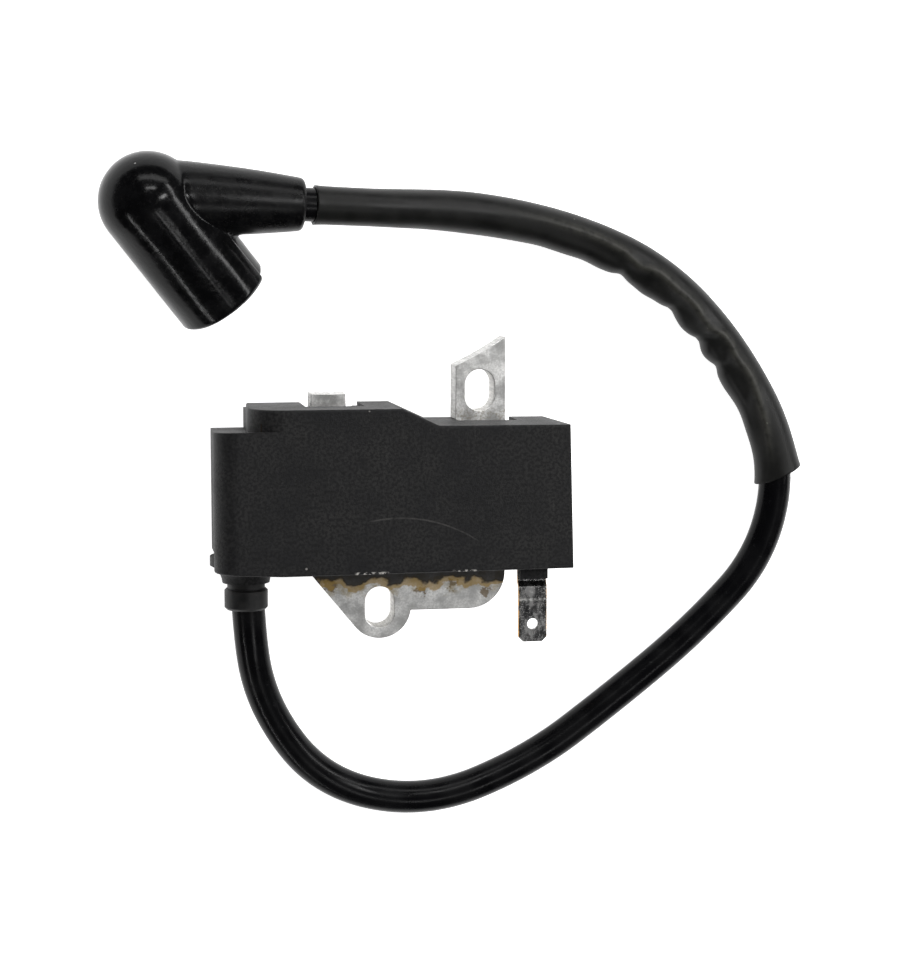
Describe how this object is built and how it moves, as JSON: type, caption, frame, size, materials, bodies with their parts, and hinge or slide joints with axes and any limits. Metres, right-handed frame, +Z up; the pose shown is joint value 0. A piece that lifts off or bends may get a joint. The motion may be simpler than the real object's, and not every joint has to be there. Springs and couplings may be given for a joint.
{
  "type": "ignition coil",
  "caption": "Flywheel ignition coil: potted housing on a laminated U core with slotted ears, spade terminal, high-tension lead in a loose sleeve and an angled plug boot.",
  "frame": {"origin": "middle of the footprint of the housing, core and blade, on the surface they lie on; lead and boot left out", "axes": "+X along the housing, from the lead outlet to the blade; +Y towards the flywheel; +Z up, from the open back to the closed front"},
  "size_m": [0.1192, 0.1122, 0.024],
  "materials": {
    "housing_plastic": "fine spark-eroded texture, moulded",
    "epoxy": "cast, smooth with a meniscus at the walls",
    "core_steel": "stamped electrical sheet, oiled and lightly stained",
    "bobbin_nylon": "moulded, natural",
    "enamelled_copper": "enamelled wire, varnished",
    "board_laminate": "glass-fibre laminate",
    "component_case": "moulded component cases",
    "capacitor_case": "dipped film capacitor",
    "tinned_brass": "tin-plated brass strip",
    "plain_brass": "turned, bare",
    "lead_jacket": "extruded, glossy",
    "lead_strand": "stranded copper core",
    "sleeve_plastic": "thin loose extruded tube, matte and creased",
    "grommet_rubber": "moulded",
    "boot_rubber": "moulded, polished gloss",
    "spring_steel": "bright drawn wire"
  },
  "bodies": {
    "module": {"charge_bobbin": "bobbin_nylon", "charge_leads": "enamelled_copper", "charge_winding": "enamelled_copper", "circuit_board": "board_laminate", "coil_leads": "enamelled_copper", "core_lamination_01": "core_steel", "core_lamination_02": "core_steel", "core_lamination_03": "core_steel", "core_lamination_04": "core_steel", "core_lamination_05": "core_steel", "core_lamination_06": "core_steel", "core_lamination_07": "core_steel", "core_lamination_08": "core_steel", "core_lamination_09": "core_steel", "core_lamination_10": "core_steel", "diodes": "component_case", "ground_wire": "enamelled_copper", "housing": "housing_plastic", "ht_conductor": "lead_strand", "ht_lead_jacket": "lead_jacket", "ht_link_wire": "enamelled_copper", "ht_spike": "plain_brass", "lead_grommet": "grommet_rubber", "potting": "epoxy", "primary_bobbin": "bobbin_nylon", "primary_winding": "enamelled_copper", "protective_sleeve": "sleeve_plastic", "resistors": "capacitor_case", "secondary_bobbin": "bobbin_nylon", "secondary_winding": "enamelled_copper", "stop_terminal": "tinned_brass", "storage_capacitor": "capacitor_case", "thyristor": "component_case", "timing_chip": "component_case"},
    "boot": {"spark_plug_boot": "boot_rubber", "plug_spring": "spring_steel"}
  },
  "joints": [
    {"name": "boot_swivel", "type": "hinge", "parent": "module", "child": "boot", "pos_m": [-0.0249, 0.0477, 0.013], "axis": [-0.9966, 0.0501, 0.0651], "range_deg": [0, 180]}
  ]
}
